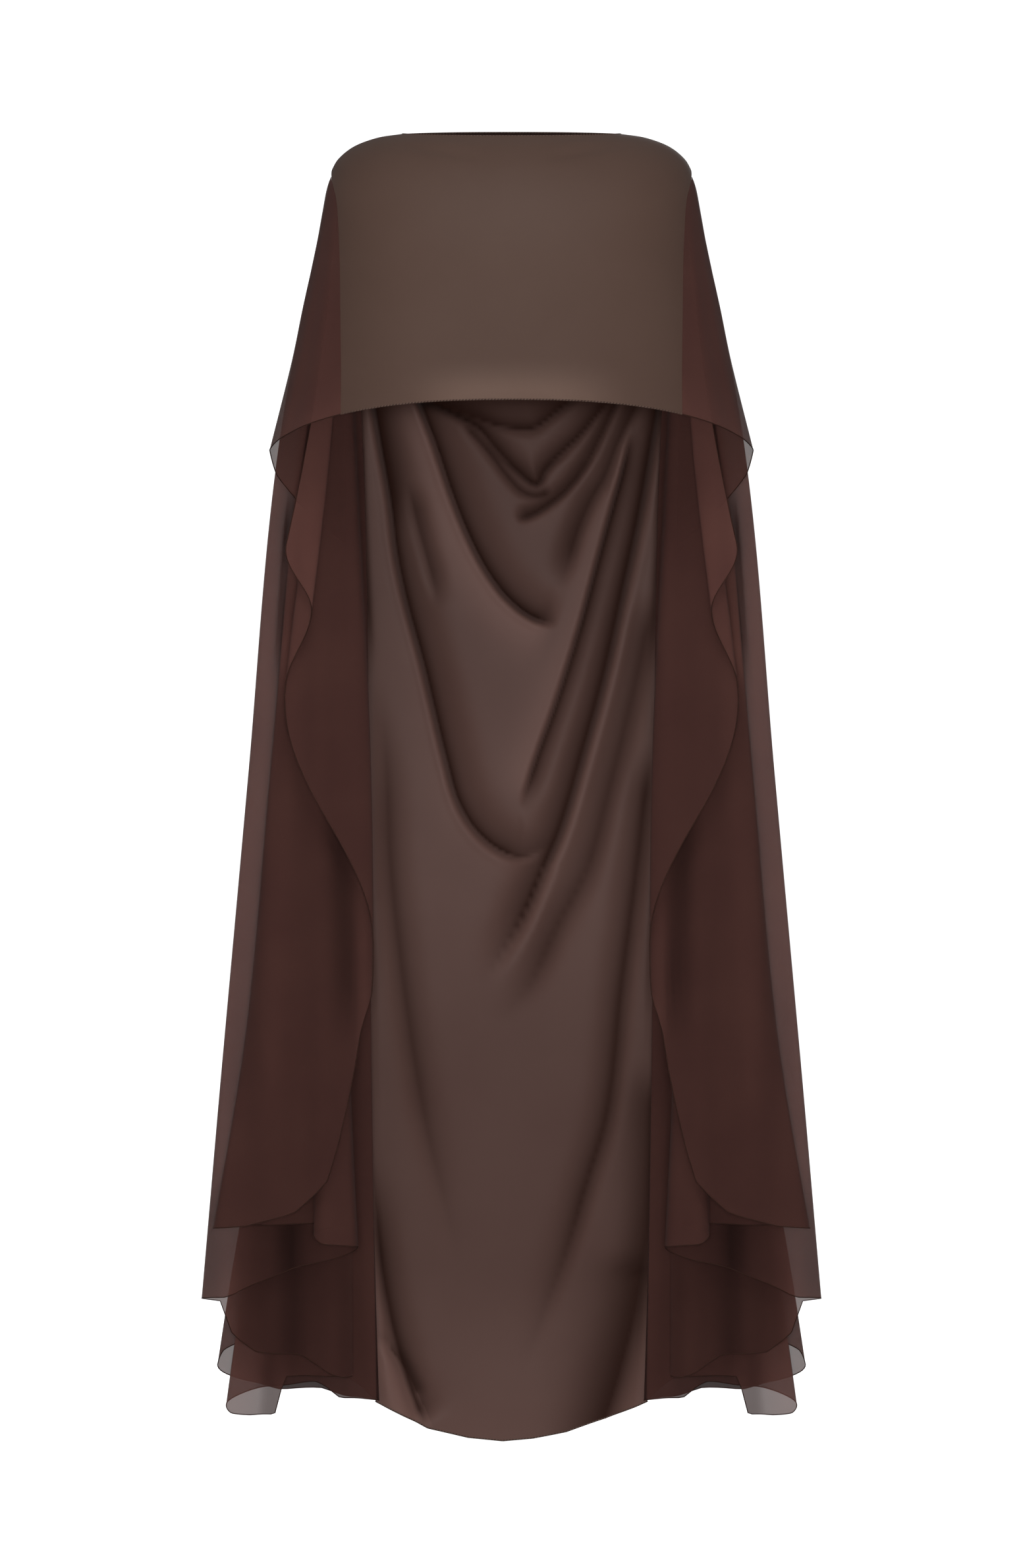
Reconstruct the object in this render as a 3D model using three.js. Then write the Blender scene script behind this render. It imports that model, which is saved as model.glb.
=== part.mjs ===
// A long cape in silk satin and chiffon, hollow as it is worn, with nobody in it.
// Millimetres, +Z up, the front faces -Y. Height 0 is the top of the shoulder line,
// and the origin lies in the middle of the neck opening.
import * as THREE from 'three';

// Driving sizes of the cloth
const wallThickness = 1.2;
const seamGap = 0.3;
const seamStep = 1.6;          // how far the chiffon lies inside the back panel's seam
const squareness = 2.5;        // 2 makes a section of the body an ellipse, more makes it squarer

// Upper body, one row for each section from the neck edge down to the front hem.
// side, front and back are heights, width is half the width, and the seams are distances
// from the middle to where the front panel and the back panel end.
const upperSections = [
  { side: -3, front: -13, back: 6, width: 119, frontDepth: 58, backDepth: 50,
    frontSeam: 119, backSeam: 119 },
  { side: -7, front: -28, back: -5, width: 146, frontDepth: 78, backDepth: 66,
    frontSeam: 146, backSeam: 146 },
  { side: -16, front: -50, back: -20, width: 171, frontDepth: 97, backDepth: 78,
    frontSeam: 171, backSeam: 171 },
  { side: -29, front: -76, back: -38, width: 188, frontDepth: 112, backDepth: 87,
    frontSeam: 188, backSeam: 188 },
  { side: -42, front: -100, back: -58, width: 196, frontDepth: 122, backDepth: 93,
    frontSeam: 196, backSeam: 196 },
  { side: -58, front: -124, back: -80, width: 202, frontDepth: 130, backDepth: 97,
    frontSeam: 189, backSeam: 190 },
  { side: -85, front: -152, back: -110, width: 207, frontDepth: 137, backDepth: 100,
    frontSeam: 186, backSeam: 186 },
  { side: -130, front: -190, back: -155, width: 215, frontDepth: 142, backDepth: 102,
    frontSeam: 184, backSeam: 182 },
  { side: -190, front: -232, back: -205, width: 228, frontDepth: 146, backDepth: 104,
    frontSeam: 183, backSeam: 178 },
  { side: -255, front: -270, back: -262, width: 241, frontDepth: 149, backDepth: 105,
    frontSeam: 182, backSeam: 175.5 },
  { side: -353, front: -306, back: -353, width: 264.5, frontDepth: 151, backDepth: 107,
    frontSeam: 181.5, backSeam: 173.5 },
];
const shoulderTipSection = 4;  // the side seams start here
const wingTopSection = 4.25;
const frontHemSection = upperSections.length - 1;
const seamNudge = 0.001;       // a small step in angle, and one in sections, for slopes at the seam
const seamReach = 0.1;
const aboveWing = [0, 1, 2, 3, 4];
const alongWing = [wingTopSection, 5, 5.5, 6, 7, 8, 9, 9.5, frontHemSection];

// The wing runs round the arm, turns at its outer fold and goes back inside.
const wingTurnAngle = 82;      // degrees round from the middle of the front
const wingInside = [
  { side: -46, depth: -14.5, innerEdge: 184 },
  { side: -130, depth: -10, innerEdge: 184 },
  { side: -255, depth: -5, innerEdge: 182 },
  { side: -353, depth: -3, innerEdge: 181 },
];
const wingInsideTop = -60;
const wingTurnEnd = 0.35;      // how far in from the fold the turn has flattened out
const wingCornerOut = 1;       // the turn's corner lies this far outside the body's width
const wingCornerDepth = 0.85;  // and this share of the way back to the inside part
const wingDropSteepness = 2.5; // how soon the inside part takes its own height
const wingHemInside = [
  { across: 0, height: -353 },
  { across: 0.15, height: -373 },
  { across: 0.42, height: -401 },
  { across: 1, height: -450 },
];

// Back panel below the shoulders
const lowerBack = [
  { height: -700, seam: 166, seamDepth: 104, middleDepth: 118 },
  { height: -1000, seam: 162, seamDepth: 116, middleDepth: 130 },
  { height: -1300, seam: 156, seamDepth: 132, middleDepth: 145 },
  { height: -1430, seam: 152, seamDepth: 138, middleDepth: 151 },
];
const backRowsBelow = [-392, -430, -465, -500, -535, -570, -605, -640, -680, -720, -755, -790, -830,
  -870, -910, -960, -1020, -1100, -1180, -1260, -1340, -1390];
const backHem = [
  { x: -154, height: -1405 },
  { x: -94, height: -1437 },
  { x: -49, height: -1448 },
  { x: -10, height: -1452 },
  { x: 24, height: -1449 },
  { x: 62, height: -1442 },
  { x: 106, height: -1427 },
  { x: 154, height: -1405 },
];

// Swags and long folds of the back panel: each runs through its points, x and height,
// pushes the cloth back by its push, and fades out over its reach to each side.
const backFolds = [
  { push: 6, reach: 20, path: [[-27, -300], [10, -352], [34, -386], [45, -374], [76, -337], [106, -293]] },
  { push: 5, reach: 18, path: [[10, -414], [47, -388], [91, -344], [128, -300]] },
  { push: 12, reach: 28, path: [[-97, -292], [-75, -366], [-49, -425], [-19, -484], [10, -517], [47, -532],
    [82, -521], [95, -484], [121, -396], [143, -307]] },
  { push: 14, reach: 32, path: [[-145, -300], [-130, -411], [-100, -559], [-78, -669], [-49, -735],
    [-19, -775], [10, -790], [28, -760], [47, -661], [76, -581], [106, -507], [143, -411], [165, -320]] },
  { push: 8, reach: 26, path: [[158, -374], [128, -507], [91, -661], [54, -779], [10, -868], [-19, -912]] },
  { push: 6, reach: 24, path: [[99, -735], [69, -823], [32, -882], [3, -927]] },
  { push: 8, reach: 30, path: [[-137, -779], [-119, -927], [-117, -1026], [-64, -1208]] },
  { push: 10, reach: 32, path: [[150, -875], [141, -1026], [102, -1147], [57, -1238], [27, -1298]] },
  { push: 10, reach: 26, path: [[-142, -1236], [-134, -1307], [-119, -1370], [-100, -1407], [-74, -1438]] },
  { push: 8, reach: 26, path: [[130, -1236], [121, -1336], [110, -1395]] },
  { push: 5, reach: 22, path: [[51, -1236], [40, -1279], [29, -1321], [20, -1355]] },
];
const foldFadeAtSeam = 26;
const foldRiseSections = 3;    // the folds grow over this many sections below the shoulder tip
const backFlatness = 2.2;      // how long the lower back stays deep before it turns to the seam
const backCrowding = 0.86;     // how much closer the columns stand at the sides, out of 1

// Side cascades. Each row is a vertical fold line and the layer of chiffon that follows it, from
// the free edge in front to the back seam. x is the distance from the middle at each level,
// depth is the layer's own depth there, top and hem are where the fold line starts and ends, and
// edge gives the layer's hem between two fold lines as pairs of share across and height.
const cascadeLevels = [-50, -330, -700, -1000, -1300];
const cascadeFolds = [
  { name: 'ridge', top: -64, x: [183, 219, 299, 340, 340],
    depth: [-31, -40, -46, -46, -46], hem: -452, edge: [] },
  { name: 'flap', top: -61, x: [181, 195, 234, 240, 240],
    depth: [-26, -31, -36, -36, -36], hem: -528, edge: [] },
  { name: 'upper fall', top: -58, x: [184, 212, 254, 260, 260],
    depth: [-21, -22, -26, -28, -28], hem: -605, edge: [] },
  { name: 'long fall', top: -54, x: [180, 170, 153, 150, 149],
    depth: [-8, 10, -2, -6, -8], hem: -886,
    edge: [[0.06, -936], [0.2, -975], [0.3, -1073], [0.37, -1146], [0.5, -1181], [0.7, -1196]] },
  { name: 'under fall', top: -52, x: [192, 231, 264, 293, 345],
    depth: [5.5, 28, 24, 24, 26], hem: -1199, edge: [[0.5, -1197]] },
  { name: 'pleat back', top: -50, x: [184, 182, 183, 184, 185],
    depth: [1, 22, 16, 15, 16], hem: -1193, edge: [] },
  { name: 'pleat front', top: -52, x: [187, 205, 211, 214, 218],
    depth: [-3.5, 16, 8, 6, 6], hem: -1206, edge: [[0.3, -1216]] },
  { name: 'side fall', top: -52, x: [181, 174, 177, 178, 165],
    depth: [11, 37, 36, 38, 42], hem: -1221,
    edge: [[0.45, -1246], [0.73, -1278]] },
  { name: 'low fall', top: -54, x: [199, 255, 290, 317, 344],
    depth: [16, 46, 49, 53, 60], hem: -1281,
    edge: [[0.24, -1284], [0.3, -1318], [0.42, -1342], [0.6, -1343], [0.75, -1365], [0.85, -1370]] },
  { name: 'front lobe', top: -57, x: [183, 176, 177, 178, 177],
    depth: [21, 55, 61, 67, 76], hem: -1369,
    edge: [[0.3, -1370], [0.53, -1370], [0.57, -1410], [0.7, -1414], [0.86, -1410]] },
  { name: 'lobe back', top: -60, x: [198, 225, 240, 262, 303],
    depth: [26, 64, 72, 80, 91], hem: -1402,
    edge: [[0.32, -1384], [0.56, -1378], [0.67, -1396]] },
  { name: 'side lobe', top: -64, x: [184, 172, 163, 159, 152],
    depth: [31, 73, 84, 93, 106], hem: -1400,
    edge: [[0.3, -1372], [0.5, -1347], [0.78, -1336], [0.9, -1345]] },
  { name: 'back fall', top: -68, x: [198, 230, 248, 272, 319],
    depth: [36, 82, 95, 106, 121], hem: -1362,
    edge: [[0.1, -1369], [0.2, -1375], [0.43, -1390], [0.6, -1389], [0.72, -1399]] },
];
const cascadeSeam = { top: -74, hem: -1405 };
const cascadeRowShares = [0, 0.045, 0.1, 0.17, 0.25, 0.35, 0.46, 0.58, 0.7, 0.85, 1];
const cascadeStations = [0, 0.1, 0.3, 0.7, 0.9];
const narrowStations = [0, 0.3, 0.7];
const narrowLayer = 45;
const stationGap = 0.045;
const widthLevel = 2;          // the row of cascadeLevels at which a layer counts as narrow
const foldTightness = 3;       // higher makes the turn from layer to layer sharper

// Soft upright flutes that all layers of a cascade share
const fluteLength = 58;
const fluteLevels = [-50, -330, -1300];
const fluteHeights = [0, 2, 4.5];
const fluteFade = 25;

// How finely the walls are cut
const frontColumns = 22;
const backColumns = 26;
const wingFrontColumns = 6;
const wingTurnColumns = 4;
const wingInsideColumns = 4;

function mix(a, b, share) {
  return a + (b - a) * share;
}

// Smooth curve through the values given at falling levels, straight beyond both ends.
function along(levels, values, level) {
  const last = levels.length - 1;
  const slope = (i) => (values[i + 1] - values[i]) / (levels[i + 1] - levels[i]);
  if (level >= levels[0]) return values[0] + slope(0) * (level - levels[0]);
  if (level <= levels[last]) return values[last] + slope(last - 1) * (level - levels[last]);
  let i = 0;
  while (level < levels[i + 1]) i += 1;
  const span = levels[i + 1] - levels[i];
  const share = (level - levels[i]) / span;
  const startSlope = i === 0 ? slope(0) : (slope(i - 1) + slope(i)) / 2;
  const endSlope = i === last - 1 ? slope(i) : (slope(i) + slope(i + 1)) / 2;
  const square = share * share;
  const cube = square * share;
  return values[i] * (2 * cube - 3 * square + 1) + startSlope * span * (cube - 2 * square + share)
    + values[i + 1] * (3 * square - 2 * cube) + endSlope * span * (cube - square);
}

// Straight steps through rows that are sorted by a rising key.
function stepped(rows, key, value, at) {
  if (at <= rows[0][key]) return rows[0][value];
  for (let i = 1; i < rows.length; i += 1) {
    if (at <= rows[i][key]) {
      const share = (at - rows[i - 1][key]) / (rows[i][key] - rows[i - 1][key]);
      return mix(rows[i - 1][value], rows[i][value], share);
    }
  }
  return rows[rows.length - 1][value];
}

function smooth(share) {
  const held = Math.min(1, Math.max(0, share));
  return held * held * (3 - 2 * held);
}

function sectionAt(index) {
  const low = Math.min(Math.floor(index), upperSections.length - 2);
  const share = index - low;
  const section = {};
  for (const key of Object.keys(upperSections[0])) {
    section[key] = mix(upperSections[low][key], upperSections[low + 1][key], share);
  }
  return section;
}

// Depth of a body section at a distance from the middle, as a share of its full depth.
function depthShare(width, x) {
  const share = Math.min(1, Math.abs(x) / width);
  return Math.pow(1 - Math.pow(share, squareness), 1 / squareness);
}

// The back panel's side seam, in the body sections and below them, as lists for along.
function backSeamLine() {
  const line = { height: [], x: [], y: [] };
  for (const section of upperSections.slice(shoulderTipSection + 1)) {
    const share = depthShare(section.width, section.backSeam);
    line.height.push(mix(section.side, section.back, Math.pow(share, squareness / 2)));
    line.x.push(section.backSeam);
    line.y.push(section.backDepth * share);
  }
  for (const row of lowerBack) {
    line.height.push(row.height);
    line.x.push(row.seam);
    line.y.push(row.seamDepth);
  }
  return line;
}

const backSeam = backSeamLine();

// Nearest distance from a point of the back panel to a fold's path.
function distanceToPath(path, x, height) {
  let nearest = Infinity;
  for (let i = 1; i < path.length; i += 1) {
    const [ax, az] = path[i - 1];
    const [bx, bz] = path[i];
    const length = (bx - ax) ** 2 + (bz - az) ** 2;
    const share = Math.min(1, Math.max(0, ((x - ax) * (bx - ax) + (height - az) * (bz - az)) / length));
    nearest = Math.min(nearest, Math.hypot(x - mix(ax, bx, share), height - mix(az, bz, share)));
  }
  return nearest;
}

function backFoldPush(x, height, seam) {
  let push = 0;
  for (const fold of backFolds) {
    const distance = distanceToPath(fold.path, x, height) / fold.reach;
    push += fold.push * Math.exp(-distance * distance);
  }
  const lift = backFolds[0].push / 2;
  return (push - lift) * smooth((seam - Math.abs(x)) / foldFadeAtSeam);
}

// A closed wall on both sides of a grid of points, grid[row][column].
function wallGeometry(grid, fixNormal) {
  const rows = grid.length;
  const columns = grid[0].length;
  const points = [];
  const sides = [[], []];
  for (let r = 0; r < rows; r += 1) {
    for (let c = 0; c < columns; c += 1) {
      const across = grid[r][Math.min(c + 1, columns - 1)].clone().sub(grid[r][Math.max(c - 1, 0)]);
      const down = grid[Math.min(r + 1, rows - 1)][c].clone().sub(grid[Math.max(r - 1, 0)][c]);
      const normal = across.cross(down);
      if (fixNormal) fixNormal(normal, r, c);
      normal.normalize().multiplyScalar(wallThickness / 2);
      sides[0].push(points.length);
      points.push(grid[r][c].clone().add(normal));
      sides[1].push(points.length);
      points.push(grid[r][c].clone().sub(normal));
    }
  }
  const faces = [];
  const quad = (a, b, c, d) => faces.push([a, b, c], [a, c, d]);
  const at = (side, r, c) => sides[side][r * columns + c];
  for (let r = 0; r < rows - 1; r += 1) {
    for (let c = 0; c < columns - 1; c += 1) {
      quad(at(0, r, c), at(0, r, c + 1), at(0, r + 1, c + 1), at(0, r + 1, c));
      quad(at(1, r, c), at(1, r + 1, c), at(1, r + 1, c + 1), at(1, r, c + 1));
    }
    quad(at(0, r, 0), at(0, r + 1, 0), at(1, r + 1, 0), at(1, r, 0));
    const end = columns - 1;
    quad(at(0, r, end), at(1, r, end), at(1, r + 1, end), at(0, r + 1, end));
  }
  for (let c = 0; c < columns - 1; c += 1) {
    const low = rows - 1;
    quad(at(0, 0, c), at(1, 0, c), at(1, 0, c + 1), at(0, 0, c + 1));
    quad(at(0, low, c), at(0, low, c + 1), at(1, low, c + 1), at(1, low, c));
  }
  let volume = 0;
  for (const [a, b, c] of faces) volume += points[a].dot(points[b].clone().cross(points[c]));
  if (volume < 0) faces.forEach((face) => face.reverse());
  const geometry = new THREE.BufferGeometry();
  geometry.setAttribute('position', new THREE.Float32BufferAttribute(points.flatMap((p) => p.toArray()), 3));
  geometry.setIndex(faces.flat());
  geometry.computeVertexNormals();
  return geometry;
}

function clothMesh(name, grid, finish, fixNormal) {
  const material = new THREE.MeshStandardMaterial({
    color: finish.color, roughness: finish.roughness, metalness: 0, side: THREE.DoubleSide,
  });
  const mesh = new THREE.Mesh(wallGeometry(grid, fixNormal), material);
  mesh.name = name;
  return mesh;
}

// A point of the front half of a body section, at an angle round from the middle of the front.
function ringPoint(section, angle) {
  const power = 2 / squareness;
  return new THREE.Vector3(
    section.width * Math.pow(Math.sin(angle), power),
    -section.frontDepth * Math.pow(Math.cos(angle), power),
    mix(section.side, section.front, Math.cos(angle)),
  );
}

function seamAngle(section) {
  return Math.asin(Math.pow(section.frontSeam / section.width, squareness / 2));
}

// The side seam's normal, shared by the front panel and the wing so that their edges stay parallel.
function seamNormal(index) {
  const section = sectionAt(index);
  const point = ringPoint(section, seamAngle(section));
  const round = ringPoint(section, seamAngle(section) + seamNudge).sub(point);
  const below = sectionAt(Math.min(index + seamReach, frontHemSection));
  const above = sectionAt(Math.min(index, frontHemSection - seamReach));
  const down = ringPoint(below, seamAngle(below)).sub(ringPoint(above, seamAngle(above)));
  return round.cross(down);
}

function takeSeamNormal(normal, index, side) {
  const shared = seamNormal(index);
  shared.x *= side;
  normal.copy(shared.dot(normal) < 0 ? shared.negate() : shared);
}

// Along the shoulder line the edges of the front and back panels face each other squarely.
function squareShoulderEdge(columns) {
  return (normal, row, column) => {
    if (row <= shoulderTipSection && (column === 0 || column === columns)) normal.y = 0;
  };
}

function frontPanelEdge(normal, row, column) {
  if (column !== 0 && column !== frontColumns) return;
  if (row < aboveWing.length) normal.y = 0;
  else takeSeamNormal(normal, alongWing[row - aboveWing.length], column === 0 ? -1 : 1);
}

function wingEdge(side) {
  return (normal, row, column) => {
    if (column === 0) takeSeamNormal(normal, alongWing[row], side);
  };
}

function frontPanelGrid() {
  const grid = [];
  for (const index of [...aboveWing, ...alongWing]) {
    const section = sectionAt(index);
    const row = [];
    for (let c = 0; c <= frontColumns; c += 1) {
      const x = section.frontSeam * Math.sin((c / frontColumns - 0.5) * Math.PI);
      const share = depthShare(section.width, x);
      const y = Math.min(-section.frontDepth * share, -seamGap / 2);
      row.push(new THREE.Vector3(x, y, mix(section.side, section.front, Math.pow(share, squareness / 2))));
    }
    grid.push(row);
  }
  return grid;
}

function backPanelGrid() {
  const grid = [];
  const crowded = Math.PI * backCrowding;
  const place = (seam, c) => seam * Math.sin((c / backColumns - 0.5) * crowded) / Math.sin(crowded / 2);
  for (let r = 0; r < upperSections.length; r += 1) {
    const section = sectionAt(r);
    const row = [];
    for (let c = 0; c <= backColumns; c += 1) {
      const x = place(section.backSeam, c);
      const share = depthShare(section.width, x);
      const height = mix(section.side, section.back, Math.pow(share, squareness / 2));
      const y = Math.max(section.backDepth * share, seamGap / 2);
      const fold = r < shoulderTipSection ? 0 : backFoldPush(x, height, section.backSeam);
      row.push(new THREE.Vector3(x, y + fold * smooth((r - shoulderTipSection) / foldRiseSections), height));
    }
    grid.push(row);
  }
  const shoulderBlades = upperSections.at(-1);
  const middleLevels = [shoulderBlades.back, ...lowerBack.map((row) => row.height)];
  const middleDepths = [shoulderBlades.backDepth, ...lowerBack.map((row) => row.middleDepth)];
  const rowBelow = (heightAt) => {
    const row = [];
    for (let c = 0; c <= backColumns; c += 1) {
      const height = heightAt(c);
      const seam = along(backSeam.height, backSeam.x, height);
      const x = place(seam, c);
      const side = along(backSeam.height, backSeam.y, height);
      const middle = along(middleLevels, middleDepths, height);
      const y = mix(middle, side, Math.pow(Math.abs(x) / seam, backFlatness)) + backFoldPush(x, height, seam);
      row.push(new THREE.Vector3(x, y, height));
    }
    return row;
  };
  for (const level of backRowsBelow) grid.push(rowBelow(() => level));
  const hemWidth = lowerBack.at(-1).seam;
  grid.push(rowBelow((c) => stepped(backHem, 'x', 'height', place(hemWidth, c))));
  return grid;
}

// One section of a wing: round the arm from the front seam, through the turn, and back inside.
function wingRow(index, rowShare) {
  const section = sectionAt(index);
  const turn = THREE.MathUtils.degToRad(wingTurnAngle);
  const seam = seamAngle(section);
  const start = seam + seamNudge * seamGap
    / ringPoint(section, seam).distanceTo(ringPoint(section, seam + seamNudge));
  const row = [];
  for (let c = 0; c <= wingFrontColumns; c += 1) {
    row.push(ringPoint(section, mix(start, turn, c / wingFrontColumns)));
  }
  const sides = wingInside.map((entry) => entry.side);
  const depth = along(sides, wingInside.map((entry) => entry.depth), section.side);
  const innerEdge = along(sides, wingInside.map((entry) => entry.innerEdge), section.side);
  const outer = row.at(-1);
  const afterTurn = new THREE.Vector3(mix(section.width, innerEdge, wingTurnEnd), depth, 0);
  const corner = new THREE.Vector3(section.width + wingCornerOut, mix(outer.y, depth, wingCornerDepth), 0);
  const total = wingTurnColumns + wingInsideColumns;
  for (let c = 1; c <= total; c += 1) {
    const inside = c / total;
    let point;
    if (c <= wingTurnColumns) {
      const s = c / wingTurnColumns;
      point = outer.clone().multiplyScalar((1 - s) ** 2)
        .add(corner.clone().multiplyScalar(2 * s * (1 - s))).add(afterTurn.clone().multiplyScalar(s * s));
    } else {
      const s = (c - wingTurnColumns) / wingInsideColumns;
      point = new THREE.Vector3(mix(afterTurn.x, innerEdge, s), depth, 0);
    }
    const across = (section.width - point.x) / (section.width - innerEdge);
    const hem = stepped(wingHemInside, 'across', 'height', across);
    const ownHeight = mix(wingInsideTop, hem, rowShare);
    point.z = mix(outer.z, ownHeight, smooth(inside * wingDropSteepness));
    row.push(point);
  }
  return row;
}

function wingGrid() {
  const grid = [];
  const top = sectionAt(wingTopSection).side;
  const bottom = upperSections[frontHemSection].side;
  for (const index of alongWing) {
    grid.push(wingRow(index, (sectionAt(index).side - top) / (bottom - top)));
  }
  return grid;
}

function flute(x, height, seam) {
  const rise = along(fluteLevels, fluteHeights, height);
  const past = x - seam;
  return rise * smooth(past / fluteFade) * Math.sin(past * 2 * Math.PI / fluteLength);
}

// Place of the chiffon at a share across one layer, at a height.
function cascadePoint(layer, across, height) {
  const fold = cascadeFolds[layer];
  const next = cascadeFolds[layer + 1];
  const seam = along(backSeam.height, backSeam.x, height);
  const nextX = next ? along(cascadeLevels, next.x, height) : seam + seamGap;
  const x = mix(along(cascadeLevels, fold.x, height), nextX, (1 - Math.cos(Math.PI * across)) / 2);
  const own = along(cascadeLevels, fold.depth, height);
  const before = layer === 0 ? own : (own + along(cascadeLevels, cascadeFolds[layer - 1].depth, height)) / 2;
  const after = next ? (own + along(cascadeLevels, next.depth, height)) / 2
    : along(backSeam.height, backSeam.y, height) - seamStep;
  const turnIn = Math.pow(Math.max(0, 1 - 2 * across), foldTightness);
  const turnOut = Math.pow(Math.max(0, 2 * across - 1), foldTightness);
  const y = own + (before - own) * turnIn + (after - own) * turnOut + flute(x, height, seam);
  return new THREE.Vector3(x, y, height);
}

function cascadeHem(layer, across) {
  const fold = cascadeFolds[layer];
  const next = cascadeFolds[layer + 1] ?? cascadeSeam;
  const rows = [[0, fold.hem], ...fold.edge, [1, next.hem]];
  return stepped(rows, 0, 1, across);
}

function cascadeGrid() {
  const stations = [];
  cascadeFolds.forEach((fold, layer) => {
    const next = cascadeFolds[layer + 1];
    const lowX = next ? next.x[widthLevel] : lowerBack[0].seam;
    const wide = Math.abs(fold.x[widthLevel] - lowX) > narrowLayer;
    const own = fold.edge.map(([across]) => across);
    const plain = (wide ? cascadeStations : narrowStations)
      .filter((across) => own.every((other) => Math.abs(other - across) > stationGap));
    for (const across of [...own, ...plain].sort((a, b) => a - b)) stations.push([layer, across]);
  });
  stations.push([cascadeFolds.length - 1, 1]);
  return cascadeRowShares.map((down) => stations.map(([layer, across]) => {
    const next = cascadeFolds[layer + 1] ?? cascadeSeam;
    const top = mix(cascadeFolds[layer].top, next.top, across);
    return cascadePoint(layer, across, mix(top, cascadeHem(layer, across), down));
  }));
}

function mirrored(grid) {
  return grid.map((row) => row.map((point) => new THREE.Vector3(-point.x, point.y, point.z)));
}

const satin = { color: 0x5a4941, roughness: 0.55 };
const satinBack = { color: 0x52423c, roughness: 0.55 };
const chiffon = { color: 0x412c27, roughness: 0.85 };

const cape = new THREE.Group();
cape.add(clothMesh('front_panel', frontPanelGrid(), satin, frontPanelEdge));
cape.add(clothMesh('back_panel', backPanelGrid(), satinBack, squareShoulderEdge(backColumns)));
const wing = wingGrid();
const cascade = cascadeGrid();
cape.add(clothMesh('wing_left', wing, chiffon, wingEdge(1)));
cape.add(clothMesh('wing_right', mirrored(wing), chiffon, wingEdge(-1)));
cape.add(clothMesh('cascade_left', cascade, chiffon));
cape.add(clothMesh('cascade_right', mirrored(cascade), chiffon));

export default cape;
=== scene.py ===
import math

import bpy
import numpy as np
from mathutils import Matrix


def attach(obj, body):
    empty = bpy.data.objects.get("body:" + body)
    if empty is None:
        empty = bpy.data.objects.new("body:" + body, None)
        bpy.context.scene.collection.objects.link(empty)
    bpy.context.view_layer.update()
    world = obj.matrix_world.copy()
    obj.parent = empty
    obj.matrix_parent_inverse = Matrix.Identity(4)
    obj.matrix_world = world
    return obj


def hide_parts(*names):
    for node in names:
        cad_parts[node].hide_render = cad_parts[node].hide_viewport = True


# A long evening cape in silk satin and chiffon, hollow as it is worn.
# The tables are in millimetres, with height 0 at the top of the shoulder line, and the scene is in metres.

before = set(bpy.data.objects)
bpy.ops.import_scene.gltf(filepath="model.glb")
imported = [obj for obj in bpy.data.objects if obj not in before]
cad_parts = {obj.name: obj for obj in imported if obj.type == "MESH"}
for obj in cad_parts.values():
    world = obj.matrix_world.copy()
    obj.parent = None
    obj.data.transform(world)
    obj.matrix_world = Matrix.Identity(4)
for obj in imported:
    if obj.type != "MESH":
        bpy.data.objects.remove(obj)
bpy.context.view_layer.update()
print("frame loaded")

mm = 0.001
squareness = 2.5  # 2 makes a section of the body an ellipse, more makes it squarer
halfGap = 0.1  # keeps the front and the back apart along the shoulders
threadDepth = 0.0004  # metres


def linear(hexColor):
    parts = [int(hexColor[i:i + 2], 16) / 255 for i in (1, 3, 5)]
    return [p / 12.92 if p <= 0.04045 else ((p + 0.055) / 1.055) ** 2.4 for p in parts] + [1]


def smooth(share):
    held = np.clip(share, 0, 1)
    return held * held * (3 - 2 * held)


def mix(a, b, share):
    return a + (b - a) * share


def along(levels, values, at):
    # smooth curve through the values given at falling levels, straight beyond both ends
    levels, values, at = np.array(levels, float), np.array(values, float), np.array(at, float)
    slope = np.diff(values) / np.diff(levels)
    middle = (slope[:-1] + slope[1:]) / 2
    startSlope, endSlope = np.append(slope[:1], middle), np.append(middle, slope[-1:])
    i = np.clip(np.searchsorted(-levels, -at, side="right") - 1, 0, len(slope) - 1)
    span = levels[i + 1] - levels[i]
    s = (at - levels[i]) / span
    curve = (values[i] * (2 * s**3 - 3 * s**2 + 1) + startSlope[i] * span * (s**3 - 2 * s**2 + s)
             + values[i + 1] * (3 * s**2 - 2 * s**3) + endSlope[i] * span * (s**3 - s**2))
    above = values[0] + slope[0] * (at - levels[0])
    below = values[-1] + slope[-1] * (at - levels[-1])
    return np.where(at >= levels[0], above, np.where(at <= levels[-1], below, curve))


# Sections of the worn body from the neck edge to the front hem. side, front and back are heights,
# width is half the width, and the seams are where the front and back panels end.
bodySections = {
    "side": [-3, -7, -16, -29, -42, -58, -85, -130, -190, -255, -353],
    "front": [-13, -28, -50, -76, -100, -124, -152, -190, -232, -270, -306],
    "back": [6, -5, -20, -38, -58, -80, -110, -155, -205, -262, -353],
    "width": [119, 146, 171, 188, 196, 202, 207, 215, 228, 241, 264.5],
    "frontDepth": [58, 78, 97, 112, 122, 130, 137, 142, 146, 149, 151],
    "backDepth": [50, 66, 78, 87, 93, 97, 100, 102, 104, 105, 107],
    "frontSeam": [119, 146, 171, 188, 196, 189, 186, 184, 183, 182, 181.5],
    "backSeam": [119, 146, 171, 188, 196, 190, 186, 182, 178, 175.5, 173.5],
}
lastSection = 10
shoulderTip = 4


def sectionAt(index):
    steps = -np.arange(lastSection + 1)
    cut = {name: along(steps, values, -np.array(index, float)) for name, values in bodySections.items()}
    cut["frontSeam"] = np.minimum(cut["frontSeam"], cut["width"])
    cut["backSeam"] = np.minimum(cut["backSeam"], cut["width"])
    return cut


def depthShare(width, x):
    share = np.clip(np.abs(x) / width, 0, 1)
    return np.power(1 - share**squareness, 1 / squareness)


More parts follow.
